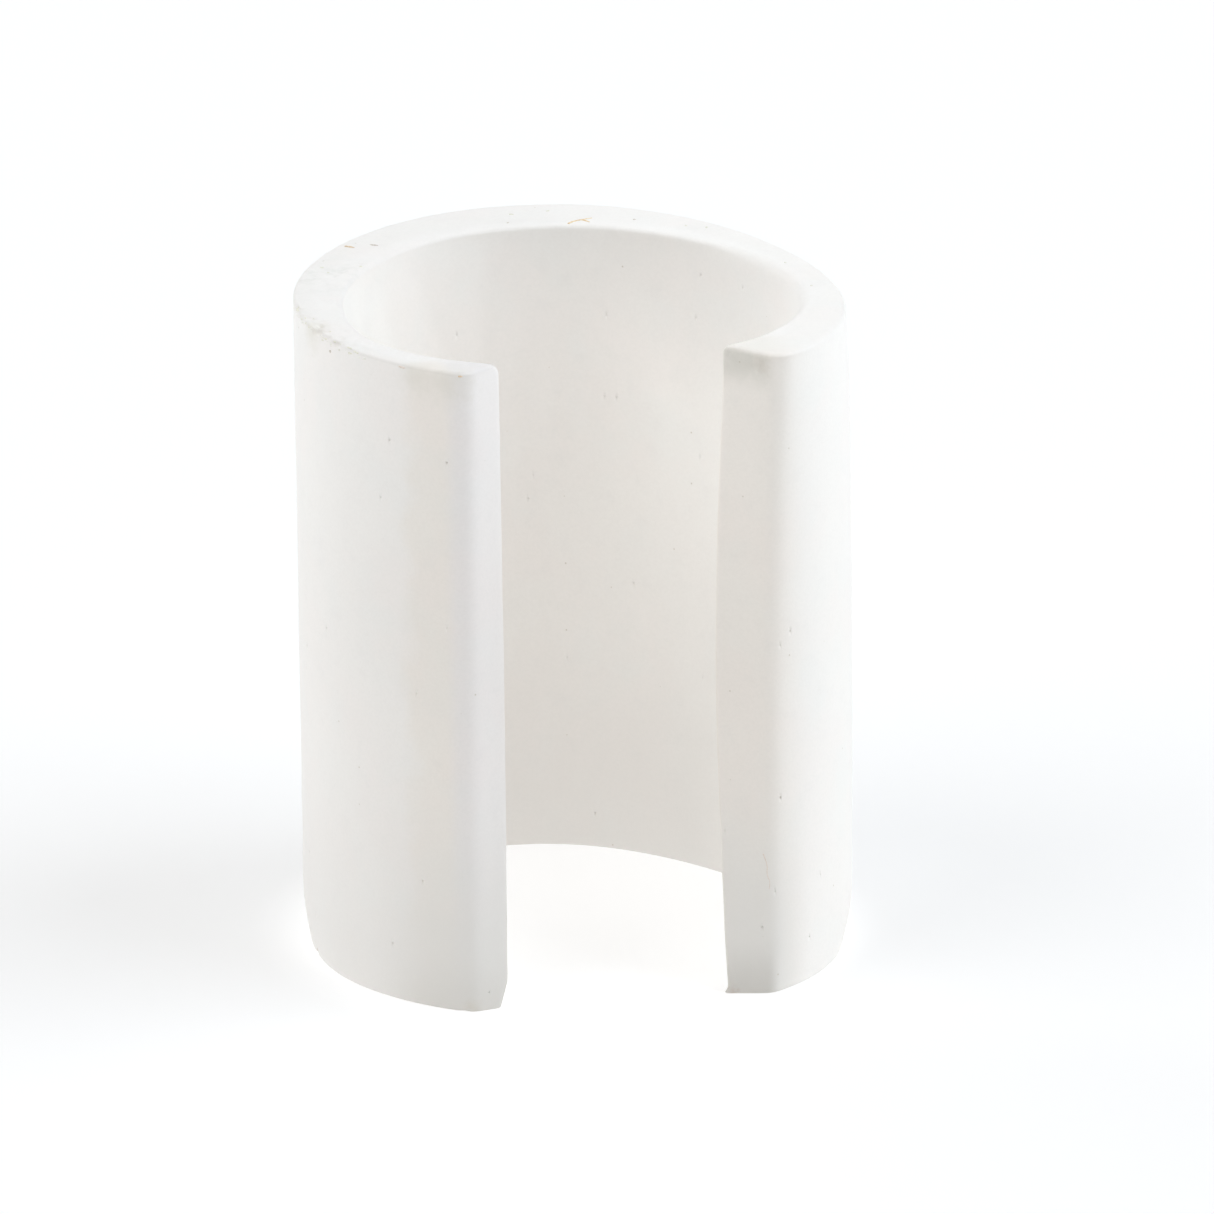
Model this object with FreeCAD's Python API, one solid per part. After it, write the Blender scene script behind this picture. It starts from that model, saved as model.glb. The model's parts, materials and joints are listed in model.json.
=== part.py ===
import FreeCAD, Part
import math
import os

# Open plaster forming mold: one upright cast wall, C-shaped in plan, open at both ends,
# with a slot down its front whose cut faces flare outwards.
# +Z is up and the slot faces -Y. The origin is at the centre of the base. Millimetres.

HEIGHT = 122.0

# A plan outline is a circle made a little oval and a little egg-shaped by hand work:
# mean radius, centre x, centre y, oval share, oval direction, egg share, egg direction.
OUTER_BASE = (50.8, -0.8, 0.3, 0.024, -70.0, 0.032, -40.0)
OUTER_RIM = (51.0, -1.4, 0.3, 0.052, -72.0, 0.024, -42.0)
INNER_BASE = (40.1, -2.3, -0.5, 0.025, -43.0, 0.043, -23.0)
INNER_RIM = (40.4, -1.6, -0.4, 0.014, -12.0, 0.029, -29.0)

# The wall is lofted through these shares of its height. The outside keeps its base outline
# most of the way up and draws in just under the rim, and the hollow changes evenly.
LEVELS = (0.0, 0.3, 0.6, 0.8, 0.92, 1.0)
OUTER_EASE = 8.0
CURVE_SPANS = 16

# The slot, at the base and at the rim. An outline ends at an angle about its own centre,
# and each cut face runs from there to its inner corner, which is given in plan.
LEFT_OUTER_ANGLE = (-124.0, -123.4)
RIGHT_OUTER_ANGLE = (-57.6, -56.6)
LEFT_HOLLOW_ANGLE = (-121.5, -120.8)
RIGHT_HOLLOW_ANGLE = (-55.5, -57.0)

# Inner corners at the base, at mid height and at the rim: the cut faces bow into the slot.
LEFT_INNER = ((-21.6, -39.4), (-21.0, -36.6), (-21.2, -35.8))
RIGHT_INNER = ((18.6, -42.6), (18.0, -37.6), (20.2, -35.4))

SLOT_OUTER_FILLET = 3.5
RIM_INNER_FILLET = 2.6
RIM_OUTER_FILLET = 0.9
BASE_FILLET = 0.6

# The inner corner at the foot of the left cut face is worn away by a slanting flat through
# three points: on the foot of the cut face, up its inner edge, and along the hollow's foot.
WORN_ON_FACE = (-22.9, -40.0, 0.0)
WORN_UP_EDGE = (-21.5, -39.2, 4.6)
WORN_ALONG_FOOT = (-29.0, -31.5, 0.0)
WORN_SIDE = 30.0


def between(low, high, share):
    """The value part of the way from one number to another."""
    return low + (high - low) * share


def blended(low, high, share):
    """An outline part of the way from one to another."""
    return tuple(between(a, b, share) for a, b in zip(low, high))


def bowed(base, mid, rim, share):
    """A plan point on the smooth curve through its places at base, mid height and rim."""
    weights = ((1 - share) * (1 - 2 * share), 4 * share * (1 - share), share * (2 * share - 1))
    x, y = [sum(w * p[i] for w, p in zip(weights, (base, mid, rim))) for i in range(2)]
    return x, y


def plan_point(outline, angle):
    """The x and y of an outline at an angle in degrees."""
    radius, cx, cy, oval, oval_dir, egg, egg_dir = outline
    swell = oval * math.cos(2 * math.radians(angle - oval_dir))
    swell += egg * math.cos(3 * math.radians(angle - egg_dir))
    reach = radius * (1 + swell)
    return cx + reach * math.cos(math.radians(angle)), cy + reach * math.sin(math.radians(angle))


def curved_run(outline, start, end, z):
    """The points along an outline from one angle to another, and the smooth edge through them."""
    angles = [between(start, end, i / CURVE_SPANS) for i in range(CURVE_SPANS + 1)]
    points = [FreeCAD.Vector(*plan_point(outline, angle), z) for angle in angles]
    curve = Part.BSplineCurve()
    curve.interpolate(Points=points)
    return points, curve.toShape()


def wall_section(level):
    """The closed plan of the wall at a share of its height: a C with two cut ends."""
    z = level * HEIGHT
    outside = blended(OUTER_BASE, OUTER_RIM, level ** OUTER_EASE)
    hollow = blended(INNER_BASE, INNER_RIM, level)
    outer_start = between(*RIGHT_OUTER_ANGLE, level)
    outer_end = between(*LEFT_OUTER_ANGLE, level) + 360
    inner_start = between(*LEFT_HOLLOW_ANGLE, level) + 360
    inner_end = between(*RIGHT_HOLLOW_ANGLE, level)
    outer_points, outer_edge = curved_run(outside, outer_start, outer_end, z)
    inner_points, inner_edge = curved_run(hollow, inner_start, inner_end, z)
    left = FreeCAD.Vector(*bowed(*LEFT_INNER, level), z)
    right = FreeCAD.Vector(*bowed(*RIGHT_INNER, level), z)
    left_end = [Part.makeLine(outer_points[-1], left), Part.makeLine(left, inner_points[0])]
    right_end = [Part.makeLine(inner_points[-1], right), Part.makeLine(right, outer_points[0])]
    return Part.Wire([outer_edge] + left_end + [inner_edge] + right_end)


def end_edges(shape, z):
    """The edges of an end face at height z, shortest first."""
    flat = [e for e in shape.Edges if abs(e.BoundBox.ZMin - z) + abs(e.BoundBox.ZMax - z) < 0.02]
    return sorted(flat, key=lambda e: e.Length)


def outermost_uprights(shape):
    """The two full-height edges that lie furthest from the axis: the slot's outer corners."""
    tall = [e for e in shape.Edges if e.BoundBox.ZLength > HEIGHT * LEVELS[-2]]
    return sorted(tall, key=lambda e: math.hypot(e.BoundBox.Center.x, e.BoundBox.Center.y))[-2:]


def worn_space():
    """The space below and inside the slanting flat of the worn corner."""
    on_face = FreeCAD.Vector(*WORN_ON_FACE)
    up_edge = FreeCAD.Vector(*WORN_UP_EDGE)
    along_foot = FreeCAD.Vector(*WORN_ALONG_FOOT)
    normal = (along_foot - on_face).cross(up_edge - on_face).normalize()
    centre = (on_face + up_edge + along_foot) / 3
    flat = Part.makePlane(WORN_SIDE, WORN_SIDE, FreeCAD.Vector(-WORN_SIDE / 2, -WORN_SIDE / 2, 0))
    flat.Placement = FreeCAD.Placement(centre, FreeCAD.Rotation(FreeCAD.Vector(0, 0, 1), normal))
    return flat.extrude(normal * WORN_SIDE)


def plaster_shell():
    """The whole mold, lofted, with its edges rounded and one foot corner worn away."""
    shell = Part.makeLoft([wall_section(level) for level in LEVELS], True, False)
    shell = shell.makeFillet(SLOT_OUTER_FILLET, outermost_uprights(shell))
    shell = shell.makeFillet(RIM_INNER_FILLET, end_edges(shell, HEIGHT)[-2:-1])
    shell = shell.makeFillet(RIM_OUTER_FILLET, end_edges(shell, HEIGHT)[-1:])
    shell = shell.makeFillet(BASE_FILLET, end_edges(shell, 0.0))
    shell = shell.cut(worn_space())
    box = shell.optimalBoundingBox(False, False)
    shell.translate(FreeCAD.Vector(-box.Center.x, -box.Center.y, 0))
    return shell


os.makedirs("parts", exist_ok=True)
plaster_shell().exportStep("parts/plaster_shell.step")
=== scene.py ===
import json
import math

import bmesh
import bpy
import numpy as np
from mathutils import Matrix, Quaternion, Vector, noise
from mathutils.bvhtree import BVHTree


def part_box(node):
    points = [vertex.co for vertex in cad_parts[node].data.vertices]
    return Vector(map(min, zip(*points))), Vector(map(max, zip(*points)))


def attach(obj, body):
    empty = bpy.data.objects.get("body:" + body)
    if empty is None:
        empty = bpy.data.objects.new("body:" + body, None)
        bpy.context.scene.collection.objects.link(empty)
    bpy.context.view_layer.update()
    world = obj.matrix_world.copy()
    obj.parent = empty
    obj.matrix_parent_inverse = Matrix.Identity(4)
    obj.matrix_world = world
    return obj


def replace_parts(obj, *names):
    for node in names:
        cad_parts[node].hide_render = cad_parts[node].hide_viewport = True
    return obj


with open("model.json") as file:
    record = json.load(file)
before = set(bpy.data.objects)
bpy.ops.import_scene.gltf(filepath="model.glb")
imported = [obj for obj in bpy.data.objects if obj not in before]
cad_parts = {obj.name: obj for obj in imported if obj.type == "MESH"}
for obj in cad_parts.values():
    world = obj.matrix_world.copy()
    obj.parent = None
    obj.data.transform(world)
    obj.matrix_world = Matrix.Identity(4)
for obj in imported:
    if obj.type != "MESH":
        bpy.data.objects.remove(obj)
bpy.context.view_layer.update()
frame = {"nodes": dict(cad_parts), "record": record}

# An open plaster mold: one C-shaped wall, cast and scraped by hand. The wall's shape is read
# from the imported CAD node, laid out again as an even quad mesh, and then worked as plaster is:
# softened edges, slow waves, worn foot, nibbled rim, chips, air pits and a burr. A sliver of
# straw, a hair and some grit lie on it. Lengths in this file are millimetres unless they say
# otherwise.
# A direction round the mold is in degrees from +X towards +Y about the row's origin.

MM = 0.001
SHELL = "plaster_shell"
SEED = 11
# Each field of noise is moved by up to this many of its features each way, so that no two are alike.
NOISE_SHIFT = 50.0

# The mold's radius, roughly. Rays that look for its outside start at RAY_DISTANCE from the axis, and
# rays that look for its rim start RAY_HEIGHT above it.
MOLD_RADIUS = 50.0
RAY_DISTANCE = 100.0
RAY_HEIGHT = 20.0

# The quad mesh: the spacing of its points at the slot's corners and on the plain wall, the
# spacing of its rows at rim and foot and up the wall, how far each takes to change, and how many
# faces cross the wall's thickness at rim and foot.
CORNER_STEP = 0.42
WALL_STEP = 0.74
CORNER_REACH = 18.0
END_ROW = 0.02
WALL_ROW = 2.2
END_REACH = 10.0
ACROSS_RIM = 12
# How finely a length is divided to space points along it.
GRADING_STEPS = 20001
# The lowest and highest outlines are read this far inside the wall's ends, where a level plane
# still cuts the CAD's mesh. Each outline's corners are then softened this many times.
SLICE_INSET = 0.003
SOFTENING_ROUNDS = 5
# The rim's inner edge: its rounding in the CAD, and its sharper rounding from the right side round
# the back to the left. CRISP_EDGE is the middle direction and half-width of that stretch, and
# CRISP_FADE is how many degrees it takes to set in.
CAD_ROUNDING = 2.6
CRISP_ROUNDING = 1.1
CRISP_EDGE = (112.0, 98.0)
CRISP_FADE = 20.0

# What handwork and use have taken off the surface. Waves: size across, depth. WAVE_REST is the
# depth they swing about, and a crest that would rise above the CAD's surface is cut off at it.
WAVES = ((36.0, 0.15), (13.0, 0.06), (5.0, 0.025))
WAVE_REST = 0.12
# The underside, where the normal points down at least this much, gets only a share of the waves.
FACING_DOWN = -0.5
UNDERSIDE_SHARE = 0.2
# Rim scuffs: size across and depth, then the middle direction and half-width of the roughest
# stretch, and how much deeper they are there.
SCUFFS = (2.2, 0.09)
ROUGH_STRETCH = (160.0, 26.0)
ROUGH_DEPTH = 0.22
# Nibbles in the rim's outer edge at the left: size across and depth, first and last direction, how
# many degrees they take to set in, and how far below the rim they reach.
NIBBLES = (2.0, 1.3)
NIBBLED = (-182.0, -143.0)
NIBBLED_FADE = 6.0
EDGE_REACH = 1.2
# The foot's outer edge is worn back: direction, half-width, depth; and how high the wear reaches.
WORN_FOOT = ((-27.0, 10.0, 1.9), (-45.0, 11.0, 0.8), (-178.0, 20.0, 1.2))
FOOT_REACH = 11.0
# Wear on the outside starts at the middle of the wall, this far from the origin, and is full this
# much further out.
WALL_MIDDLE = 44.0
WALL_HALF = 5.0
# Chips: direction, height, distance from the origin, size across, depth.
CHIPS = (
    (-168.0, 0.6, 50.4, 1.7, 0.4),
    (-122.6, 0.4, 53.0, 1.6, 0.2),
    (-31.0, 121.6, 52.0, 2.0, 0.25),
    (62.0, 0.2, 47.0, 2.2, 0.45),
    (20.0, 121.9, 50.4, 1.8, 0.2),
)
# The rim is scraped this much lower all round.
RIM_SCRAPED = 0.1
# The right cut face in plan, from its inner edge to its outer edge, and how hand work has moved it:
# the edge (0 inner, 1 outer), the push, the height where that is greatest, its reach up and down.
# CUT_FACE_REACH is how far away in plan the plaster still moves with the face.
CUT_FACE = ((19.4, -41.0), (28.5, -48.4))
CUT_FACE_REACH = 6.0
CUT_FACE_MOVED = (
    (0, (-1.1, -0.1), 75.0, 90.0),
    (1, (-1.3, -0.2), 30.0, 110.0),
    (1, (-0.4, 0.0), 80.0, 40.0),
)
# Places pushed out of shape: x, y, z, reach in plan, reach up and down, and the push. They are the
# right cut face's inner corner at the rim, the burr at its foot, the left cut face's inner edge, its
# worn corner at the rim, a nub beside it, and that face's toe.
PUSHED = (
    (20.0, -40.6, 120.6, 2.6, 2.2, (-0.4, -0.2, 0.6)),
    (20.1, -47.1, 0.0, 0.75, 0.75, (-0.95, -0.1, 0.0)),
    (-21.4, -36.8, 104.0, 3.0, 26.0, (0.35, 0.0, 0.0)),
    (-21.2, -36.2, 122.0, 2.6, 2.6, (-0.6, -0.3, -1.5)),
    (-25.6, -36.6, 121.8, 0.8, 0.9, (0.3, 0.4, 0.9)),
    (-23.2, -41.4, 0.0, 2.4, 3.5, (0.1, -1.4, 0.0)),
)

# Air pits. The placed ones have a direction, a height, whether they are in the hollow, a radius.
PLACED_PITS = (
    (88.0, 68.9, True, 0.26),
    (61.7, 88.4, True, 0.3),
    (-168.0, 60.1, False, 0.3),
    (-58.9, 37.5, False, 0.28),
    (-62.2, 12.4, False, 0.26),
    (101.0, 33.0, True, 0.24),
    (-140.0, 96.0, False, 0.22),
    (-131.0, 23.0, False, 0.24),
)
# The scattered ones: how many, their radii, the share of them in the hollow, the lowest height, and
# how far below the rim the highest one can be.
SCATTERED_PITS = 110
PIT_RADII = (0.12, 0.27)
HOLLOW_SHARE = 0.4
PIT_FLOOR = 1.0
PIT_HEADROOM = 4.0
# A pit's points in a ring, its rings' radii and depths, and its bottom's depth, all but the first as
# shares of its radius. Its radius is at most this share of its quad's shortest edge.
PIT_RING = 8
PIT_RINGS = ((1.0, 0.0), (0.72, 0.75))
PIT_BOTTOM = 1.1
PIT_ROOM = 0.42

# Grit on the rim: direction, distance, heading, length, width, colour.
GRIT = (
    (136.6, 45.2, -38.0, 2.1, 0.62, "rust"),
    (132.4, 42.1, -38.0, 2.0, 0.5, "umber"),
    (58.4, 40.9, 10.0, 0.6, 0.45, "umber"),
    (39.0, 42.8, 60.0, 0.7, 0.45, "olive"),
    (44.0, 41.4, 20.0, 0.55, 0.4, "olive"),
    (4.1, 42.6, 0.0, 0.5, 0.4, "olive"),
    (-14.4, 45.4, 30.0, 0.5, 0.45, "olive"),
    (150.3, 38.2, 90.0, 0.75, 0.55, "olive"),
    (153.0, 45.0, 15.0, 0.8, 0.45, "olive"),
    (156.5, 43.2, 100.0, 0.7, 0.4, "olive"),
    (80.9, 44.2, 20.0, 0.8, 0.45, "olive"),
    (90.0, 43.2, -35.0, 1.1, 0.5, "olive"),
    (92.5, 38.3, 15.0, 0.6, 0.4, "umber"),
)
# Grit stuck in the outer wall, under the rim and at the foot: direction, height, length, width,
# colour.
WALL_GRIT = (
    (-134.7, 121.0, 1.7, 0.45, "tan"),
    (-121.9, 121.1, 0.9, 0.35, "rust"),
    (-156.0, 119.4, 0.7, 0.5, "umber"),
    (-168.0, 1.0, 0.9, 0.6, "umber"),
)
# Crumbs in the nibbled edge: how many, their lengths, their width as a share of that, how far below
# the rim they lie, and the share of them that are olive.
CRUMBS = 60
CRUMB_LENGTHS = (0.3, 0.8)
CRUMB_WIDTH = 0.5
CRUMB_DEPTHS = (0.4, 1.6)
OLIVE_SHARE = 0.6
# How lumpy a grain is, as a share of its size, and how many lumps there are from its middle to its
# surface.
GRAIN_LUMPS = 0.3
GRAIN_LUMP_COUNT = 1.6

# The forked sliver of straw on the back of the rim, and the hair on the front right of the slot. A
# lift below zero sinks a strand into the surface.
STRAW = (
    ((75.6, 36.3), (74.6, 37.3), (73.0, 38.3), (71.2, 39.0), (69.5, 39.9)),
    ((71.9, 38.5), (70.8, 38.2), (69.6, 37.4)),
)
STRAW_RADIUS = 0.22
STRAW_LIFT = -0.04
HAIR = ((-61.9, 27.0), (-61.3, 25.0), (-61.5, 23.0), (-60.9, 21.4), (-61.2, 20.2))
HAIR_RADIUS = 0.055
# How much thinner a strand is at its far end, as a share, and how finely it is divided round it and
# between its points.
STRAND_TAPER = 0.4
STRAND_ROUNDNESS = 3
STRAND_STEPS = 8

# Camera: its aim from the middle of the box, where it stands, and how the view is framed.
AIM_OFFSET = (1.4, -5.1, 0.0)
AZIMUTH = -12.2
ELEVATION = 19.5
ROLL = -0.5
DISTANCE = 2250.0
FOCAL_LENGTH = 365.4
SHIFT = (0.0245, 0.0016)
SENSOR_WIDTH = 36.0
CLIP_END_METRES = 20.0

# Studio: each softbox's azimuth and elevation, given as the camera's are, strength and warmth, and
# how many degrees wide each one looks.
SOFTBOXES = {
    "right_front": (40, 20, 0.3, -0.03),
    "right_high": (70, 50, 1.5, -0.06),
    "right_low": (100, 20, 0.7, -0.06),
    "left_high": (-80, 50, 1.3, 0.0),
    "left_side": (-75, 12, 0.07, 0.0),
    "left_low": (-140, 20, 0.95, -0.06),
    "front_high": (-10, 60, 0.35, 0.06),
}
SOFTBOX_SPREAD = 45
SKY_STRENGTH = 0.06
FLOOR_TONE = 0.5
FLOOR_GLOW = 0.48
FLOOR_HALF_WIDTH_METRES = 4.0
# The lamp under the table: how much brighter it makes the middle, and in metres from the hollow's
# middle where that starts to fade and where it ends.
LAMP_GLOW = 0.17
LAMP_REACH_METRES = (0.038, 0.060)

wall_low, wall_high = [np.array(corner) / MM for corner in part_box(SHELL)]
height = wall_high[2] - wall_low[2]
openings = {o["name"]: np.array(o["box_m"]) / MM for o in frame["record"]["physics"]["openings"]}
hollow_centre = openings["hollow"].mean(0)[:2]
random = np.random.default_rng(SEED)


# ---------------------------------------------------------------- reading the CAD wall

def cad_mesh(node):
    """The points and triangles of a CAD node, with its split points joined."""
    mesh = frame["nodes"][node].data
    mesh.calc_loop_triangles()
    points = np.empty(len(mesh.vertices) * 3, np.float32)
    mesh.vertices.foreach_get("co", points)
    triangles = np.empty(len(mesh.loop_triangles) * 3, np.int32)
    mesh.loop_triangles.foreach_get("vertices", triangles)
    points = np.round(points.reshape(-1, 3).astype(float) / MM, 4)
    points, joined = np.unique(points, axis=0, return_inverse=True)
    return points, joined.ravel()[triangles].reshape(-1, 3)


def outline_at(points, triangles, z):
    """The closed outline, in order, where a level plane cuts the mesh."""
    above = points[:, 2] > z
    cut = triangles[above[triangles].any(1) & ~above[triangles].all(1)]
    edges = np.sort(np.stack([cut, np.roll(cut, -1, 1)], 2), 2)
    crossed = edges[above[edges[..., 0]] != above[edges[..., 1]]]
    keys, ends = np.unique(crossed[:, 0] * len(points) + crossed[:, 1], return_inverse=True)
    low, high = points[keys // len(points)], points[keys % len(points)]
    share = (z - low[:, 2]) / (high[:, 2] - low[:, 2])
    crossings = low + share[:, None] * (high - low)
    neighbours = [[] for _ in keys]
    for a, b in ends.reshape(-1, 2):
        neighbours[a].append(b)
        neighbours[b].append(a)
    order = [0, neighbours[0][0]]
    while len(order) < len(keys):
        a, b = neighbours[order[-1]]
        order.append(a if b == order[-2] else b)
    return crossings[order, :2]


def travelled(run):
    """How far along a run each of its points lies."""
    return np.concatenate([[0.0], np.cumsum(np.linalg.norm(np.diff(run, axis=0), axis=1))])


def wall_runs(outline):
    """The outline's hollow run, then its outside run, each from the slot's left side to its right."""
    turn = np.arctan2(hollow_centre[0] - outline[:, 0], outline[:, 1] - hollow_centre[1])
    left = int(np.argmax(turn))
    outline = np.roll(outline, -left, axis=0)
    right = (int(np.argmin(turn)) - left) % len(outline)
    one_way = outline[:right + 1]
    other_way = np.vstack([outline[right:], outline[:1]])[::-1]
    return sorted((one_way, other_way), key=lambda run: travelled(run)[-1])


def placed_along(run, shares):
    """Points at these shares of a run's length."""
    distance = travelled(run)
    return np.stack([np.interp(shares * distance[-1], distance, run[:, i]) for i in range(2)], 1)


def graded(length, end_step, middle_step, reach):
    """Places along a length, close together at both ends and wider apart in the middle."""
    fine = np.linspace(0.0, length, GRADING_STEPS)
    from_end = np.clip(np.minimum(fine, length - fine) / reach, 0.0, 1.0)
    steps = end_step + (middle_step - end_step) * from_end
    count = np.concatenate([[0.0], np.cumsum(np.diff(fine) / ((steps[1:] + steps[:-1]) / 2))])
    return np.interp(np.linspace(0.0, count[-1], int(count[-1])), count, fine)


# ---------------------------------------------------------------- the quad mesh

def directions_of(points):
    """Each point's direction round the mold, in degrees."""
    return np.degrees(np.arctan2(points[:, 1], points[:, 0]))


def apart(directions, centre):
    """How many degrees each direction is from a centre."""
    return np.abs((directions - centre + 180) % 360 - 180)


def set_back(depth, rounding):
    """How far a rounded edge lies back from a sharp one at a depth below the rim."""
    rise = np.clip(rounding - depth, 0, rounding)
    return rounding - math.sqrt(rounding ** 2 - rise ** 2)


def crisped(hollow, depth):
    """A level of the hollow's side with its rim edge less rounded where it is crisp."""
    inwards = hollow_centre - hollow
    middle, half_width = CRISP_EDGE
    inside = half_width - apart(directions_of(hollow), middle)
    crisp = np.clip(inside / CRISP_FADE, 0, 1)[:, None]
    gain = set_back(depth, CAD_ROUNDING) - set_back(depth, CRISP_ROUNDING)
    return hollow + inwards / np.linalg.norm(inwards, axis=1)[:, None] * crisp * gain


def wall_rings():
    """The wall's level rings, as an array of rings by points by x, y, z, and the points in a run."""
    points, triangles = cad_mesh(SHELL)
    middle = wall_runs(outline_at(points, triangles, height / 2))[1]
    length = travelled(middle)[-1]
    shares = graded(length, CORNER_STEP, WALL_STEP, CORNER_REACH) / length
    rings = []
    for z in graded(height, END_ROW, WALL_ROW, END_REACH):
        outline = outline_at(points, triangles, np.clip(z, SLICE_INSET, height - SLICE_INSET))
        hollow, outside = [placed_along(run, shares) for run in wall_runs(outline)]
        hollow = crisped(hollow, height - z)
        ring = np.vstack([outside, hollow[-2:0:-1]])
        for _ in range(SOFTENING_ROUNDS):
            ring = ring / 2 + (np.roll(ring, 1, 0) + np.roll(ring, -1, 0)) / 4
        rings.append(np.column_stack([ring, np.full(len(ring), z)]))
    return np.array(rings), len(shares)


def end_face(ring, run, ring_start, free_index, facing_up):
    """The points inside an end of the wall, between its two runs, and the faces that close it."""
    outside = np.arange(run)
    hollow = np.concatenate([[0], np.arange(len(ring) - 1, run - 1, -1), [run - 1]])
    across = (np.arange(1, ACROSS_RIM) / ACROSS_RIM)[:, None]
    inside = ring[hollow[1:-1], None] * (1 - across) + ring[outside[1:-1], None] * across
    grid = np.empty((run, ACROSS_RIM + 1), int)
    grid[:, 0] = ring_start + hollow
    grid[:, -1] = ring_start + outside
    grid[1:-1, 1:-1] = free_index + np.arange(inside[..., 0].size).reshape(inside.shape[:2])
    grid[[0, -1], 1:-1] = grid[[0, -1], :1]
    faces = []
    for near, far in zip(grid[:-1].tolist(), grid[1:].tolist()):
        for j in range(ACROSS_RIM):
            face = list(dict.fromkeys([near[j], far[j], far[j + 1], near[j + 1]]))
            if len(face) > 2:
                faces.append(face if facing_up else face[::-1])
    return inside.reshape(-1, 3), faces


def wall_mesh():
    """The closed quad mesh of the wall."""
    rings, run = wall_rings()
    count = rings.shape[1]
    top_start = (len(rings) - 1) * count
    faces = []
    for row in range(len(rings) - 1):
        for i in range(count):
            a, b = row * count + i, row * count + (i + 1) % count
            faces.append([a + count, b + count, b, a])
    foot_points, foot_faces = end_face(rings[0], run, 0, rings[..., 0].size, False)
    free_index = rings[..., 0].size + len(foot_points)
    rim_points, rim_faces = end_face(rings[-1], run, top_start, free_index, True)
    points = np.vstack([rings.reshape(-1, 3), foot_points, rim_points])
    mesh = bpy.data.meshes.new("plaster_wall")
    mesh.from_pydata(points.tolist(), [], faces + foot_faces + rim_faces)
    mesh.validate()
    return mesh


# ---------------------------------------------------------------- working the plaster

def point_values(values, name):
    """One of a mesh's lists of points or normals, as an array with three numbers for each."""
    flat = np.empty(len(values) * 3, np.float32)
    values.foreach_get(name, flat)
    return flat.reshape(-1, 3).astype(float)


def noise_offset():
    """A random place to read a field of noise from."""
    return Vector(random.uniform(-NOISE_SHIFT, NOISE_SHIFT, 3))


def noise_over(points, size):
    """Smooth noise from about -1 to 1 at each point, with features of this size."""
    offset = noise_offset()
    return np.array([noise.noise(Vector(p) / size + offset) for p in points])


def hump(distance, half_width):
    """1 at no distance, falling smoothly to almost nothing at twice the half-width."""
    return np.exp(-(distance / half_width) ** 2)


def polar(direction, distance, z):
    """The point at a direction, distance and height."""
    angle = math.radians(direction)
    return np.array([distance * math.cos(angle), distance * math.sin(angle), z])


def outer_share(points):
    """0 at the middle of the wall's thickness and inside it, 1 on the mold's outside."""
    return np.clip((np.hypot(points[:, 0], points[:, 1]) - WALL_MIDDLE) / WALL_HALF, 0, 1)


def plaster_taken(points, normals):
    """How much plaster is missing at each point, measured along its normal."""
    taken = WAVE_REST + sum(depth * noise_over(points, size) for size, depth in WAVES)
    wave_share = np.where(normals[:, 2] < FACING_DOWN, UNDERSIDE_SHARE, 1.0)
    taken = np.maximum(taken, 0.0) * wave_share

    on_rim = np.clip(normals[:, 2], 0, 1) ** 2
    rough_middle, rough_half_width = ROUGH_STRETCH
    rough = hump(apart(directions_of(points), rough_middle), rough_half_width)
    scuff_size, scuff_depth = SCUFFS
    scuff = np.abs(noise_over(points, scuff_size))
    taken += on_rim * scuff * (scuff_depth + ROUGH_DEPTH * rough)

    for direction, z, distance, size, depth in CHIPS:
        away = np.linalg.norm(points - polar(direction, distance, z), axis=1)
        taken += depth * hump(away, size / 2)
    return taken + RIM_SCRAPED * on_rim


def foot_worn(points):
    """How far in towards the axis the foot's outer side is worn at each point."""
    directions = directions_of(points)
    low_down = np.clip(1 - points[:, 2] / FOOT_REACH, 0, 1) ** 2
    worn = sum(depth * hump(apart(directions, d), half_width) for d, half_width, depth in WORN_FOOT)
    return worn * low_down * outer_share(points)


def face_moved(points):
    """How far the right cut face and the plaster beside it have moved in plan."""
    inner, outer = np.array(CUT_FACE)
    face = outer - inner
    along = np.clip((points[:, :2] - inner) @ face / (face @ face), 0, 1)
    away = np.linalg.norm(points[:, :2] - inner - along[:, None] * face, axis=1)
    moved = np.zeros((len(points), 2))
    for edge, push, z, rise in CUT_FACE_MOVED:
        share = along if edge else 1 - along
        moved += np.outer(share * hump(away, CUT_FACE_REACH) * hump(points[:, 2] - z, rise), push)
    return moved


def edge_nibbled(points):
    """How far the rim's outer edge is nibbled away, down and in, at each point."""
    first, last = NIBBLED
    inside = (last - first) / 2 - apart(directions_of(points), (first + last) / 2)
    along = np.clip(inside / NIBBLED_FADE, 0, 1)
    outer = outer_share(points) ** 2
    size, depth = NIBBLES
    bite = np.maximum(noise_over(points, size), 0.0)
    return along * outer * hump(height - points[:, 2], EDGE_REACH) * bite * depth


def work_plaster(mesh):
    """Wears, chips and burrs the wall, and keeps it inside the CAD wall's box."""
    points = point_values(mesh.vertices, "co")
    normals = point_values(mesh.vertex_normals, "vector")
    worked = points - normals * plaster_taken(points, normals)[:, None]
    outwards = points[:, :2] / np.hypot(points[:, 0], points[:, 1])[:, None]
    nibble = edge_nibbled(points)
    worked[:, :2] += face_moved(points) - outwards * (foot_worn(points) + nibble)[:, None]
    worked[:, 2] -= nibble
    for x, y, z, reach, rise, push in PUSHED:
        in_plan = np.hypot(points[:, 0] - x, points[:, 1] - y)
        share = hump(in_plan, reach) * hump(points[:, 2] - z, rise)
        worked += np.array(push) * share[:, None]
    worked = np.clip(worked, wall_low, wall_high)
    mesh.vertices.foreach_set("co", worked.astype(np.float32).ravel())
    mesh.update()


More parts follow.
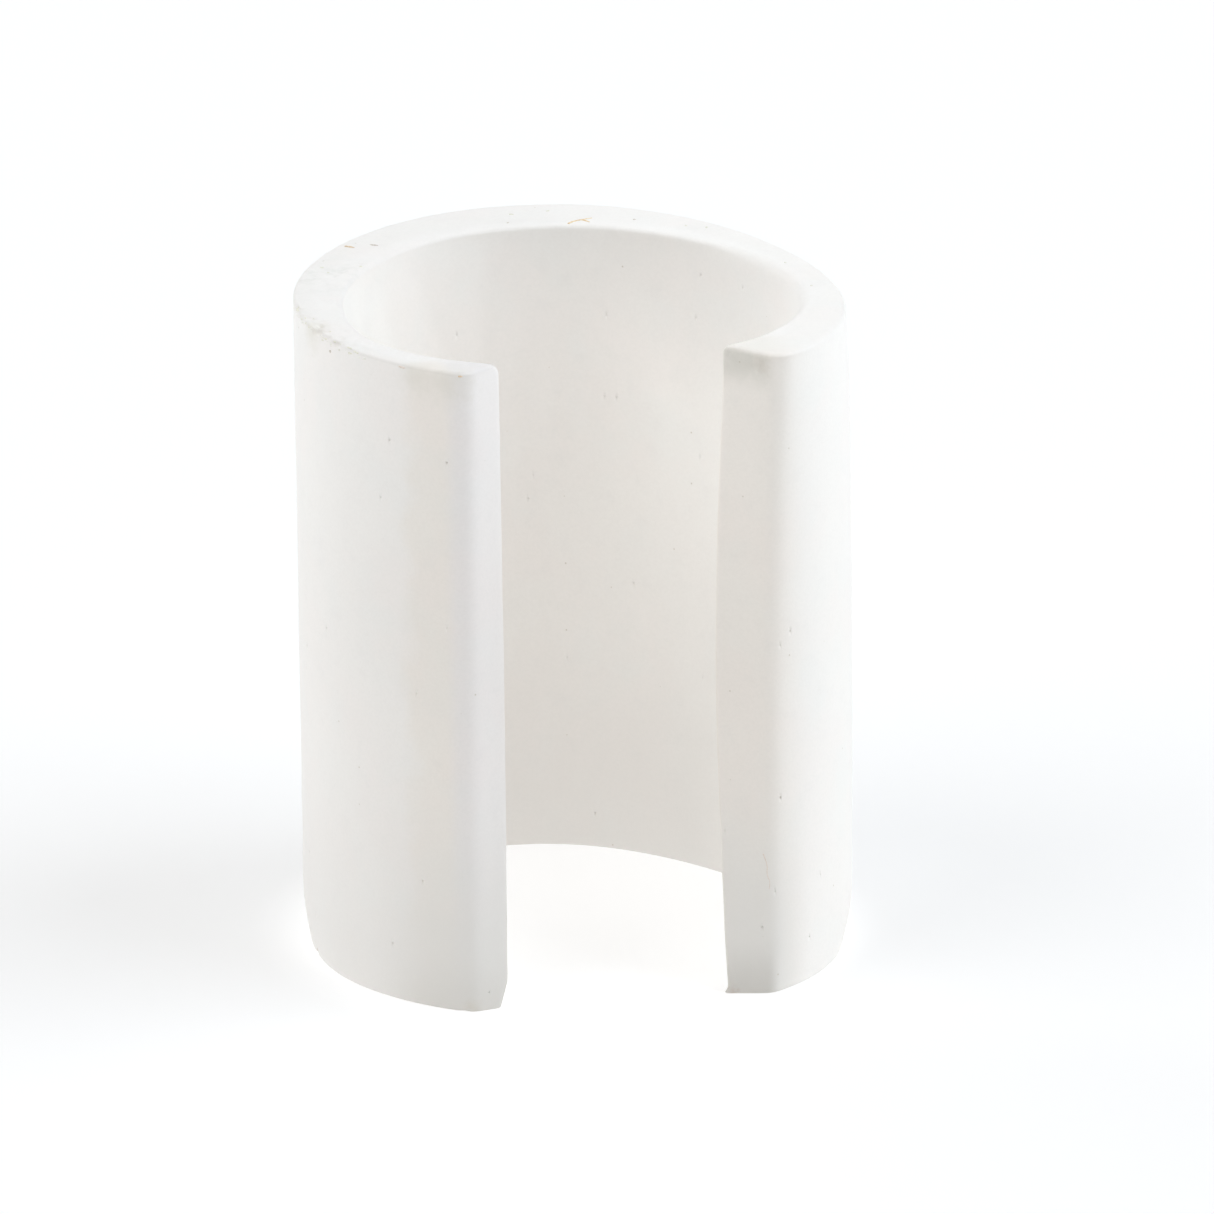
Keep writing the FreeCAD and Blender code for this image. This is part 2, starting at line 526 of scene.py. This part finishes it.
def pit_points(work, face, centre, radius):
    """A pit's two rings of points, rim and bowl, and the point at its bottom."""
    normal = face.normal.copy()
    first_way = (face.verts[0].co - centre).normalized()
    side_way = normal.cross(first_way).normalized()
    rings = []
    for ring_share, depth_share in PIT_RINGS:
        ring = []
        for k in range(PIT_RING):
            turn = 2 * math.pi * k / PIT_RING
            way = first_way * math.cos(turn) + side_way * math.sin(turn)
            place = centre + way * (radius * ring_share) - normal * (radius * depth_share)
            ring.append(work.verts.new(place))
        rings.append(ring)
    return rings, work.verts.new(centre - normal * radius * PIT_BOTTOM)


def join_to_corners(work, corners, ring):
    """Closes the gap between a quad's corners and a ring of points inside it with triangles."""
    nearest = [min(range(PIT_RING), key=lambda k: (ring[k].co - c.co).length) for c in corners]
    for i, corner in enumerate(corners):
        following = corners[(i + 1) % len(corners)]
        k, end = nearest[i], nearest[(i + 1) % len(corners)]
        half = ((end - k) % PIT_RING) // 2
        for step in range(half):
            work.faces.new((corner, ring[(k + step + 1) % PIT_RING], ring[(k + step) % PIT_RING]))
        turning = (k + half) % PIT_RING
        work.faces.new((corner, following, ring[turning]))
        while turning != end:
            onward = (turning + 1) % PIT_RING
            work.faces.new((following, ring[onward], ring[turning]))
            turning = onward


def dig_pit(work, face, centre, radius):
    """Replaces a quad by a small round pit: a rim ring joined to the quad's corners, and a bowl."""
    corners = list(face.verts)
    (rim, bowl), bottom = pit_points(work, face, centre, radius)
    work.faces.remove(face)
    join_to_corners(work, corners, rim)
    for k in range(PIT_RING):
        onward = (k + 1) % PIT_RING
        work.faces.new((rim[k], rim[onward], bowl[onward], bowl[k]))
        work.faces.new((bowl[k], bowl[onward], bottom))


def pit_places():
    """The placed pits and then the scattered ones, each as PLACED_PITS gives them."""
    places = list(PLACED_PITS)
    for _ in range(SCATTERED_PITS):
        direction = random.uniform(-180, 180)
        z = random.uniform(PIT_FLOOR, height - PIT_HEADROOM)
        in_hollow = random.random() < HOLLOW_SHARE
        places.append((direction, z, in_hollow, random.uniform(*PIT_RADII)))
    return places


def pit_ray(direction, z, in_hollow):
    """The start and way of a ray that meets the hollow's side or the outside at a direction."""
    start = np.append(hollow_centre, z) if in_hollow else polar(direction, RAY_DISTANCE, z)
    way = polar(direction, MOLD_RADIUS, z) - start
    return Vector(start), Vector(way).normalized()


def add_pits(mesh):
    """Digs a pit where each ray meets a quad, one pit to a quad and only as wide as it has room for."""
    work = bmesh.new()
    work.from_mesh(mesh)
    work.faces.ensure_lookup_table()
    tree = BVHTree.FromBMesh(work)
    chosen = {}
    for direction, z, in_hollow, radius in pit_places():
        place, _, index, _ = tree.ray_cast(*pit_ray(direction, z, in_hollow))
        if place is None or index in chosen or len(work.faces[index].verts) != 4:
            continue
        chosen[index] = radius
    for face, radius in [(work.faces[index], radius) for index, radius in chosen.items()]:
        shortest = min(edge.calc_length() for edge in face.edges)
        dig_pit(work, face, face.calc_center_median(), min(radius, shortest * PIT_ROOM))
    work.to_mesh(mesh)
    work.free()


def finished(mesh):
    """The mesh, smooth-shaded and taken to metres, as an object in the scene."""
    mesh.transform(Matrix.Scale(MM, 4))
    mesh.polygons.foreach_set("use_smooth", [True] * len(mesh.polygons))
    mesh.update()
    piece = bpy.data.objects.new(mesh.name, mesh)
    bpy.context.scene.collection.objects.link(piece)
    return piece


# ---------------------------------------------------------------- what lies on it

class Surface:
    """The finished wall, for laying small things on it."""

    def __init__(self, mesh):
        points = point_values(mesh.vertices, "co")
        self.tree = BVHTree.FromPolygons(points.tolist(), [list(p.vertices) for p in mesh.polygons])

    def under(self, direction, distance):
        """The point and normal of the rim at a direction and distance."""
        start = Vector(polar(direction, distance, height + RAY_HEIGHT))
        return self.tree.ray_cast(start, Vector((0, 0, -1)))[:2]

    def outside(self, direction, z):
        """The point and normal of the outer wall at a direction and height."""
        start = Vector(polar(direction, RAY_DISTANCE, z))
        way = Vector(polar(direction, -1.0, 0.0))
        return self.tree.ray_cast(start, way)[:2]


def add_grain(work, place, normal, heading, length, width, material_index):
    """A rough little grain, half as high as it is wide and half sunk where it lies."""
    angle = math.radians(heading)
    along = Vector((math.cos(angle), math.sin(angle), 0.0))
    along = (along - normal * along.dot(normal)).normalized()
    basis = Matrix((along, normal.cross(along), normal)).transposed().to_4x4()
    size = Matrix.Diagonal((length / 2, width / 2, width / 4, 1.0))
    made = bmesh.ops.create_icosphere(work, subdivisions=2, radius=1.0)["verts"]
    offset = noise_offset()
    for vertex in made:
        vertex.co *= 1 + GRAIN_LUMPS * noise.noise(vertex.co * GRAIN_LUMP_COUNT + offset)
    bmesh.ops.transform(work, matrix=Matrix.Translation(place) @ basis @ size, verts=made)
    for face in {f for v in made for f in v.link_faces}:
        face.material_index = material_index


def grit_mesh(surface, colours):
    """All the grit in one mesh, with one material for each colour."""
    work = bmesh.new()
    for direction, distance, heading, length, width, colour in GRIT:
        place, normal = surface.under(direction, distance)
        add_grain(work, place, normal, heading, length, width, colours.index(colour))
    for direction, z, length, width, colour in WALL_GRIT:
        place, normal = surface.outside(direction, z)
        add_grain(work, place, normal, direction + 90, length, width, colours.index(colour))
    for _ in range(CRUMBS):
        direction = random.uniform(*NIBBLED)
        place, normal = surface.outside(direction, height - random.uniform(*CRUMB_DEPTHS))
        length = random.uniform(*CRUMB_LENGTHS)
        colour = "olive" if random.random() < OLIVE_SHARE else "crumb"
        width = length * CRUMB_WIDTH
        add_grain(work, place, normal, direction + 90, length, width, colours.index(colour))
    mesh = bpy.data.meshes.new("rim_grit")
    work.to_mesh(mesh)
    work.free()
    return mesh


def strand(name, places, radius, lift):
    """Thin tapered strands, as a mesh, through points lifted off the surface by this much."""
    curve = bpy.data.curves.new(name, "CURVE")
    curve.dimensions = "3D"
    curve.bevel_depth = radius
    curve.bevel_resolution = STRAND_ROUNDNESS
    curve.use_fill_caps = True
    curve.resolution_u = STRAND_STEPS
    for run in places:
        spline = curve.splines.new("NURBS")
        spline.points.add(len(run) - 1)
        for i, (place, normal) in enumerate(run):
            spline.points[i].co = (*(place + normal * lift), 1.0)
            spline.points[i].radius = 1.0 - STRAND_TAPER * i / (len(run) - 1)
        spline.order_u = 3
        spline.use_endpoint_u = True
    holder = bpy.data.objects.new(name, curve)
    mesh = bpy.data.meshes.new_from_object(holder)
    mesh.name = name
    bpy.data.objects.remove(holder)
    work = bmesh.new()
    work.from_mesh(mesh)
    bmesh.ops.remove_doubles(work, verts=work.verts, dist=radius / 100)
    work.to_mesh(mesh)
    work.free()
    return mesh


# ---------------------------------------------------------------- materials

# Shaders work in metres, so the places in this section's ramps are metres. Sizes of noise, reaches
# and places of stains and of painted light are millimetres.

class Nodes:
    """Short ways to add and join shader nodes in one material."""

    def __init__(self, name):
        self.material = bpy.data.materials.new(name)
        self.material.use_nodes = True
        self.tree = self.material.node_tree
        self.shader = self.tree.nodes["Principled BSDF"]
        self.place = self.add("ShaderNodeTexCoord").outputs["Object"]

    def add(self, kind, inputs=(), **settings):
        """A new node, with its settings, and its inputs given values or joined."""
        node = self.tree.nodes.new(kind)
        for name, value in settings.items():
            setattr(node, name, value)
        for socket, value in dict(inputs).items():
            self.set(node.inputs[socket], value)
        return node

    def set(self, socket, value):
        """Joins an input to another node's output, or gives it a plain value."""
        if isinstance(value, bpy.types.NodeSocket):
            self.tree.links.new(value, socket)
        else:
            socket.default_value = value

    def noise(self, size, detail=2.0, roughness=0.5):
        """Noise whose features are this many millimetres across."""
        inputs = {"Vector": self.place, "Scale": 1 / (size * MM)}
        inputs |= {"Detail": detail, "Roughness": roughness}
        return self.add("ShaderNodeTexNoise", inputs).outputs["Fac"]

    def ramp(self, value, low, high, out_low=0.0, out_high=1.0):
        """The value taken smoothly from one range to another."""
        inputs = {"Value": value, "From Min": low, "From Max": high}
        inputs |= {"To Min": out_low, "To Max": out_high}
        node = self.add("ShaderNodeMapRange", inputs, interpolation_type="SMOOTHSTEP")
        return node.outputs["Result"]

    def math(self, operation, a, b):
        """One step of arithmetic on two values."""
        return self.add("ShaderNodeMath", {0: a, 1: b}, operation=operation).outputs["Value"]

    def product(self, first, *others):
        """The values multiplied together, in order."""
        for other in others:
            first = self.math("MULTIPLY", first, other)
        return first

    def ragged(self, value, size, amount):
        """A place in metres moved by up to this many millimetres of noise of this size."""
        return self.math("ADD", value, self.product(self.noise(size, 3.0), amount * MM))

    def mix(self, factor, a, b, blend="MIX"):
        """Two colours mixed."""
        node = self.add("ShaderNodeMix", data_type="RGBA", blend_type=blend)
        self.set(node.inputs[0], factor)
        self.set(node.inputs[6], a)
        self.set(node.inputs[7], b)
        return node.outputs[2]

    def distance(self, point):
        """How far away a point is, in metres."""
        inputs = {0: self.place, 1: point}
        return self.add("ShaderNodeVectorMath", inputs, operation="DISTANCE").outputs["Value"]

    def near(self, point, reach):
        """1 at a point, in millimetres, falling to 0 at a distance, with a ragged edge."""
        away = self.ragged(self.distance(Vector(point) * MM), reach * 0.35, reach * 0.9)
        return self.ramp(away, reach * MM * 1.4, reach * MM * 0.3)


# The plaster's own colour, and what is laid over it. All but the white, the scuffs and the specks are
# painted shade, darker where less light falls.
TINTS = {
    "white": (0.960, 0.940, 0.908, 1),
    "outside": (0.955, 0.950, 0.943, 1),
    "front_shade": (0.978, 0.960, 0.935, 1),
    "corner": (0.950, 0.946, 0.962, 1),
    "rim": (0.946, 0.944, 0.944, 1),
    "shade_towards_foot": (0.80, 0.785, 0.755, 1),
    "shade towards the foot by the slot": (0.76, 0.745, 0.71, 1),
    "foot_shadow": (0.60, 0.58, 0.54, 1),
    "painted shade under the top": (0.62, 0.61, 0.55, 1),
    "scuffed": (0.77, 0.76, 0.72, 1),
    "speck": (0.55, 0.50, 0.40, 1),
}
# Clouds in the plaster's colour, laid one over another: the noise's size, detail and roughness, the
# values of it where a cloud starts and where it is full, how strong it is, and its colour.
CLOUDS = (
    (21.0, 3.0, 0.5, 0.38, 0.62, 1.0, (0.962, 0.930, 0.898, 1)),
    (13.0, 3.0, 0.5, 0.45, 0.75, 1.0, (0.944, 0.932, 0.903, 1)),
    (4.0, 4.0, 0.6, 0.5, 0.8, 0.5, (0.915, 0.895, 0.868, 1)),
    (0.55, 2.0, 0.5, 0.3, 0.75, 0.25, (0.88, 0.86, 0.83, 1)),
)
# The scuffed stretch of the rim: its middle and its reach.
SCUFFED_PLACE = (polar(160.0, 44.0, 122.0), 17.0)
# Stains in the plaster: place, reach, colour, strength. The third is painted light, not a stain: a
# lighter patch high on the hollow's right side.
STAINS_AND_PAINTED_LIGHT = (
    ((20.8, -46.9, 0.6), 1.7, (0.42, 0.25, 0.16, 1), 0.6),
    ((25.6, -47.2, 119.6), 3.0, (0.62, 0.55, 0.48, 1), 0.4),
    # Painted light: a lighter patch high on the hollow's right side.
    ((36.0, -10.0, 112.0), 18.0, (0.985, 0.975, 0.955, 1), 0.7),
    (polar(-124.0, 53.0, 119.5), 6.5, (0.78, 0.75, 0.68, 1), 0.55),
    (polar(-131.0, 53.0, 119.8), 6.0, (0.80, 0.77, 0.70, 1), 0.5),
    (polar(-121.0, 53.0, 1.0), 2.4, (0.60, 0.54, 0.44, 1), 0.3),
    (polar(-165.0, 50.5, 121.0), 6.0, (0.78, 0.75, 0.66, 1), 0.5),
)
# Specks and pores in the plaster: how far apart they are, and how strong the specks are.
SPECK_PITCH = 2.6
SPECK_STRENGTH = 0.5


class WallParts:
    """A point's x and z, and the parts of the wall as shader values, 1 on a part and 0 off it."""

    def __init__(self, n):
        place = n.add("ShaderNodeSeparateXYZ", {0: n.place}).outputs
        x, y = place["X"], place["Y"]
        inputs = {0: n.place, 1: (1, 1, 0)}
        in_plan = n.add("ShaderNodeVectorMath", inputs, operation="MULTIPLY").outputs["Vector"]
        inputs = {0: in_plan, 1: Vector((*hollow_centre, 0.0)) * MM}
        from_axis = n.add("ShaderNodeVectorMath", inputs, operation="DISTANCE").outputs["Value"]
        self.x, self.z = x, place["Z"]
        self.front = n.ramp(n.math("ADD", y, n.product(n.noise(9.0, 4.0), 0.007)), -0.033, -0.037)
        self.outside = n.math("MAXIMUM", n.ramp(from_axis, 0.0435, 0.0465), self.front)
        self.left_part = n.ramp(x, 0.036, 0.027)
        self.by_slot = n.product(n.ramp(y, -0.030, -0.046), self.left_part)
        self.off_corner = n.math("MAXIMUM", n.ramp(x, -0.0285, -0.0315), n.ramp(x, -0.005, 0.005))
        self.right_face = n.product(self.front, n.ramp(x, 0.0, 0.01), n.ramp(x, 0.029, 0.026))


def bare_plaster(n):
    """The plaster's own colour: off-white, clouded and grainy."""
    colour = TINTS["white"]
    for size, detail, roughness, low, high, strength, cloud in CLOUDS:
        amount = n.ramp(n.noise(size, detail, roughness), low, high, 0.0, strength)
        colour = n.mix(amount, colour, cloud)
    return colour


def painted_shade(n, parts, colour):
    """The colour with painted shade on the outside, its front, the left cut face's rounded corner and
    the rim.
    """
    # Painted shade: the outside and the slot's faces darker, less towards the top.
    outside = n.product(parts.outside, n.ramp(parts.z, 0.060, 0.118, 1.0, 0.4))
    colour = n.mix(outside, colour, TINTS["outside"], "MULTIPLY")
    # Painted shade on the front: the outer wall left of the slot and the right cut face.
    front_shade = n.product(parts.front, parts.left_part, parts.off_corner)
    colour = n.mix(front_shade, colour, TINTS["front_shade"], "MULTIPLY")
    # Painted shade on the left cut face's rounded corner.
    corner = n.product(parts.front, n.math("SUBTRACT", 1.0, parts.off_corner))
    colour = n.mix(corner, colour, TINTS["corner"], "MULTIPLY")
    # Painted shade on the rim, strongest at the left.
    rim = n.product(n.ramp(parts.z, 0.1208, 0.1214), n.ramp(parts.x, 0.030, -0.010, 0.1, 1.0))
    return n.mix(rim, colour, TINTS["rim"], "MULTIPLY")


def shaded_towards_foot(n, parts, colour):
    """The colour darkened towards the foot by painted shade, more beside the slot, and by a painted
    contact shadow at the foot beside the slot.
    """
    # Painted shade: darker towards the foot on all but the mold's right side, and more beside the slot.
    rising = n.ragged(parts.z, 14.0, 12.0)
    shade_towards_foot = n.product(n.ramp(rising, 0.055, 0.006, 0.0, 0.42), parts.left_part)
    colour = n.mix(shade_towards_foot, colour, TINTS["shade_towards_foot"])
    shade_towards_foot = n.product(n.ramp(rising, 0.050, 0.006, 0.0, 0.78), parts.by_slot)
    colour = n.mix(shade_towards_foot, colour, TINTS["shade towards the foot by the slot"])
    # A painted contact shadow at the foot beside the slot, strongest on the right cut face.
    foot_shadow = n.product(n.ramp(n.ragged(parts.z, 3.0, 2.0), 0.013, 0.0, 0.0, 0.85), parts.by_slot)
    foot_shadow = n.product(foot_shadow, n.ramp(parts.x, -0.01, 0.01, 0.4, 1.0), n.ramp(parts.x, 0.0295, 0.0265))
    return n.mix(foot_shadow, colour, TINTS["foot_shadow"])


def marks_and_painted_light(n, parts, colour):
    """The colour with a band of painted shade under the right cut face's top, the scuffed rim, the
    stains, and a patch of painted light high on the hollow's right side.
    """
    # A band of painted shade just under the top of the right cut face.
    shade_band = n.product(n.ramp(parts.z, 0.113, 0.1195), n.ramp(parts.z, 0.1216, 0.1206))
    shade_band = n.product(shade_band, n.ramp(n.noise(3.0, 3.0), 0.2, 0.6, 0.3, 0.6))
    colour = n.mix(n.product(parts.right_face, shade_band), colour, TINTS["painted shade under the top"])
    scuffed = n.product(n.near(*SCUFFED_PLACE), n.ramp(parts.z, 0.1206, 0.1213))
    scuffed = n.product(scuffed, n.ramp(n.noise(2.4, 4.0, 0.6), 0.45, 0.65, 0.0, 0.6))
    colour = n.mix(scuffed, colour, TINTS["scuffed"])
    for point, reach, stain_and_light, strength in STAINS_AND_PAINTED_LIGHT:
        colour = n.mix(n.product(n.near(point, reach), strength), colour, stain_and_light)
    return colour


def speckled(n, specks, colour):
    """The colour with a dark dot in a few of the cells of a speck texture."""
    few = n.ramp(n.add("ShaderNodeSeparateColor", {0: specks["Color"]}).outputs[0], 0.90, 0.94)
    dots = n.product(n.ramp(specks["Distance"], 0.085, 0.05), few, SPECK_STRENGTH)
    return n.mix(dots, colour, TINTS["speck"])


def grainy(n, specks):
    """The normal of a surface with fine grain, and a pore in each cell of a speck texture."""
    inputs = {"Height": n.noise(0.5, 3.0, 0.6), "Distance": 0.00003, "Strength": 0.5}
    grain = n.add("ShaderNodeBump", inputs).outputs["Normal"]
    inputs = {"Height": n.ramp(specks["Distance"], 0.0, 0.1), "Distance": 0.00005}
    inputs |= {"Strength": 0.35, "Normal": grain}
    return n.add("ShaderNodeBump", inputs).outputs["Normal"]


def plaster_material():
    """Dry casting plaster: off-white, faintly mottled, grainy, scuffed and stained, with painted shade
    and a patch of painted light on it.
    """
    n = Nodes("plaster")
    parts = WallParts(n)
    inputs = {"Vector": n.place, "Scale": 1 / (SPECK_PITCH * MM), "Randomness": 1.0}
    specks = n.add("ShaderNodeTexVoronoi", inputs).outputs
    colour = bare_plaster(n)
    for shade_and_marks in (painted_shade, shaded_towards_foot, marks_and_painted_light):
        colour = shade_and_marks(n, parts, colour)
    n.set(n.shader.inputs["Base Color"], speckled(n, specks, colour))
    n.set(n.shader.inputs["Roughness"], n.ramp(n.noise(3.0, 3.0), 0.3, 0.7, 0.72, 0.9))
    n.shader.inputs["Specular IOR Level"].default_value = 0.3
    n.set(n.shader.inputs["Normal"], grainy(n, specks))
    return n.material


def speck_material(name, dark, light, size):
    """Grit, straw or hair: two tones mixed in small blotches, dull."""
    n = Nodes(name)
    n.set(n.shader.inputs["Base Color"], n.mix(n.ramp(n.noise(size, 3.0), 0.35, 0.65), dark, light))
    n.shader.inputs["Roughness"].default_value = 0.85
    bump = n.add("ShaderNodeBump", {"Height": n.noise(size / 2, 2.0), "Distance": 0.00004})
    n.set(n.shader.inputs["Normal"], bump.outputs["Normal"])
    return n.material


# Two tones for each colour of grit, for straw and for hair, and how big the blotches of them are.
GRIT_COLOURS = {
    "rust": ((0.72, 0.54, 0.36, 1), (0.86, 0.71, 0.52, 1)),
    "tan": ((0.80, 0.70, 0.62, 1), (0.90, 0.83, 0.77, 1)),
    "umber": ((0.60, 0.53, 0.47, 1), (0.76, 0.70, 0.64, 1)),
    "olive": ((0.79, 0.77, 0.65, 1), (0.89, 0.87, 0.78, 1)),
    "crumb": ((0.84, 0.82, 0.75, 1), (0.95, 0.94, 0.90, 1)),
}
STRAW_COLOURS = ((0.76, 0.55, 0.31, 1), (0.90, 0.76, 0.52, 1))
HAIR_COLOURS = ((0.66, 0.52, 0.42, 1), (0.80, 0.68, 0.58, 1))
GRIT_BLOTCHES = 0.3
STRAND_BLOTCHES = 0.4


# ---------------------------------------------------------------- making the object

def add_piece(mesh, materials):
    """Puts a mesh in the scene as a piece of the mold."""
    for material in materials:
        mesh.materials.append(material)
    piece = finished(mesh)
    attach(piece, "root")
    return piece


wall = wall_mesh()
work_plaster(wall)
add_pits(wall)
surface = Surface(wall)
grit = grit_mesh(surface, list(GRIT_COLOURS))
straw_places = [[surface.under(*spot) for spot in run] for run in STRAW]
straw = strand("rim_straw", straw_places, STRAW_RADIUS, STRAW_LIFT)
hair = strand("face_hair", [[surface.outside(*spot) for spot in HAIR]], HAIR_RADIUS, 0.0)

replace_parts(add_piece(wall, [plaster_material()]), SHELL)
add_piece(grit, [speck_material(name, *tones, GRIT_BLOTCHES) for name, tones in GRIT_COLOURS.items()])
add_piece(straw, [speck_material("straw", *STRAW_COLOURS, STRAND_BLOTCHES)])
add_piece(hair, [speck_material("hair", *HAIR_COLOURS, STRAND_BLOTCHES)])


# ---------------------------------------------------------------- studio

def pale_floor():
    """A plain pale light table, a little brighter over its lamp."""
    half = FLOOR_HALF_WIDTH_METRES
    corners = [(-half, -half, 0), (half, -half, 0), (half, half, 0), (-half, half, 0)]
    mesh = bpy.data.meshes.new("floor")
    mesh.from_pydata(corners, [], [(0, 1, 2, 3)])
    n = Nodes("pale_floor")
    n.shader.inputs["Base Color"].default_value = (FLOOR_TONE, FLOOR_TONE, FLOOR_TONE, 1)
    n.shader.inputs["Roughness"].default_value = 0.9
    n.shader.inputs["Specular IOR Level"].default_value = 0.0
    n.shader.inputs["Emission Color"].default_value = (1, 1, 1, 1)
    lamp = Vector((*hollow_centre, 0.0)) * MM
    glow = n.ramp(n.distance(lamp), *LAMP_REACH_METRES, FLOOR_GLOW + LAMP_GLOW, FLOOR_GLOW)
    n.set(n.shader.inputs["Emission Strength"], glow)
    mesh.materials.append(n.material)
    floor = bpy.data.objects.new("floor", mesh)
    bpy.context.scene.collection.objects.link(floor)


def towards(azimuth, elevation):
    a, e = math.radians(azimuth), math.radians(elevation)
    return Vector((math.sin(a) * math.cos(e), -math.cos(a) * math.cos(e), math.sin(e)))


def softbox(name, azimuth, elevation, strength, warmth):
    """A wide soft light from far off."""
    light = bpy.data.lights.new(name, "SUN")
    light.energy = strength
    light.color = (1 + warmth, 1, 1 - warmth)
    light.angle = math.radians(SOFTBOX_SPREAD)
    lamp = bpy.data.objects.new(name, light)
    lamp.rotation_euler = towards(azimuth, elevation).to_track_quat("Z", "Y").to_euler()
    bpy.context.scene.collection.objects.link(lamp)


def add_camera():
    """The camera, at the stated angle and a little rolled."""
    lens = bpy.data.cameras.new("camera")
    lens.sensor_width = SENSOR_WIDTH
    lens.lens = FOCAL_LENGTH
    lens.shift_x, lens.shift_y = SHIFT
    lens.clip_end = CLIP_END_METRES
    camera = bpy.data.objects.new("camera", lens)
    back = towards(AZIMUTH, ELEVATION)
    aim = Vector((wall_low + wall_high) / 2) + Vector(AIM_OFFSET)
    camera.location = (aim + back * DISTANCE) * MM
    camera.rotation_mode = "QUATERNION"
    roll = Quaternion((0, 0, 1), math.radians(ROLL))
    camera.rotation_quaternion = (-back).to_track_quat("-Z", "Y") @ roll
    bpy.context.scene.collection.objects.link(camera)
    bpy.context.scene.camera = camera


def add_sky():
    """Even light from all round."""
    world = bpy.data.worlds.new("studio")
    world.use_nodes = True
    world.node_tree.nodes["Background"].inputs["Color"].default_value = (1, 1, 1, 1)
    world.node_tree.nodes["Background"].inputs["Strength"].default_value = SKY_STRENGTH
    bpy.context.scene.world = world


pale_floor()
for name, setting in SOFTBOXES.items():
    softbox(name, *setting)
add_sky()
add_camera()
bpy.context.scene.view_settings.view_transform = "Standard"
